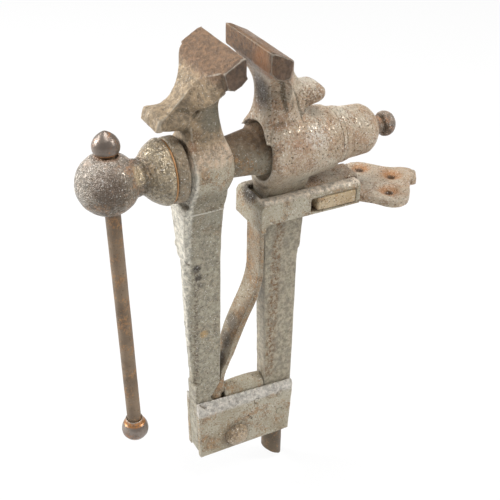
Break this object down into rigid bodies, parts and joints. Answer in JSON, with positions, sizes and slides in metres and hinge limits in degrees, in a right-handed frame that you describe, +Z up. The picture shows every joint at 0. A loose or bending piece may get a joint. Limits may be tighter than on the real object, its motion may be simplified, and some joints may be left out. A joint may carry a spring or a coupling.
{
  "type": "blacksmith's leg vise",
  "caption": "Small blacksmith's leg vise: swinging front leg, fixed rear leg, ball-headed screw with sliding bar, leaf spring, keyed bench plate and foot peg.",
  "frame": {"origin": "on the foot peg's axis, level with the underside of the foot box", "axes": "+Z up the legs to the jaws, +Y along the screw from the handle towards the bench, +X across the jaws to the side where the pivot rivet's dome is"},
  "size_m": [0.0679, 0.2642, 0.3681],
  "materials": {
    "painted_iron": "silver-grey paint worn through to rust",
    "jaw_steel": "bare and rusty",
    "dark_iron": "dark, oiled and worn",
    "bar_steel": "dull brown",
    "spring_steel": "paint over worn spring steel",
    "key_iron": "bare tan end",
    "inner_steel": "greased"
  },
  "bodies": {
    "rear_frame": {"rear_leg": "painted_iron", "rear_jaw_plate": "jaw_steel", "right_cheek": "painted_iron", "left_cheek": "painted_iron", "foot_spacer": "painted_iron", "pivot_rivet": "painted_iron", "pivot_rove": "painted_iron", "cheek_rivets": "painted_iron", "foot_peg": "dark_iron", "leaf_spring": "spring_steel", "mounting_strap": "painted_iron", "strap_key": "key_iron", "bench_plate": "painted_iron", "screw_box": "painted_iron", "box_key": "inner_steel", "box_collar": "painted_iron", "box_thread": "inner_steel", "box_end_knob": "dark_iron"},
    "swinging_leg": {"front_leg": "painted_iron", "front_jaw_plate": "jaw_steel", "guard_sleeve": "painted_iron"},
    "thrust_stack": {"thrust_washer": "painted_iron", "bell_washer": "dark_iron"},
    "main_screw": {"screw": "dark_iron"},
    "handle": {"handle_bar": "bar_steel", "handle_upper_knob": "dark_iron", "handle_lower_knob": "dark_iron"}
  },
  "joints": [
    {"name": "screw_turn", "type": "hinge", "parent": "thrust_stack", "child": "main_screw", "pos_m": [0, -0.0875, 0.2535], "axis": [0, 1, 0], "range_deg": [-1930, 1080]},
    {"name": "screw_travel", "type": "slide", "parent": "rear_frame", "child": "thrust_stack", "axis": [0, 1, 0], "range_m": [-0.02146, 0.01202]},
    {"name": "jaw_swing", "type": "hinge", "parent": "rear_frame", "child": "swinging_leg", "pos_m": [0, -0.0385, 0.0135], "axis": [1, 0, 0], "range_deg": [-2.85, 5.1], "deforming": ["leaf_spring"]},
    {"name": "handle_slide", "type": "slide", "parent": "main_screw", "child": "handle", "axis": [0, -0.0314, 0.9995], "range_m": [0, 0.178]}
  ],
  "couplings": [
    {"joint": "screw_travel", "follows": "screw_turn", "m_per_rad": 0.00063662},
    {"joint": "jaw_swing", "follows": "screw_turn", "ratio": -0.0026416}
  ]
}
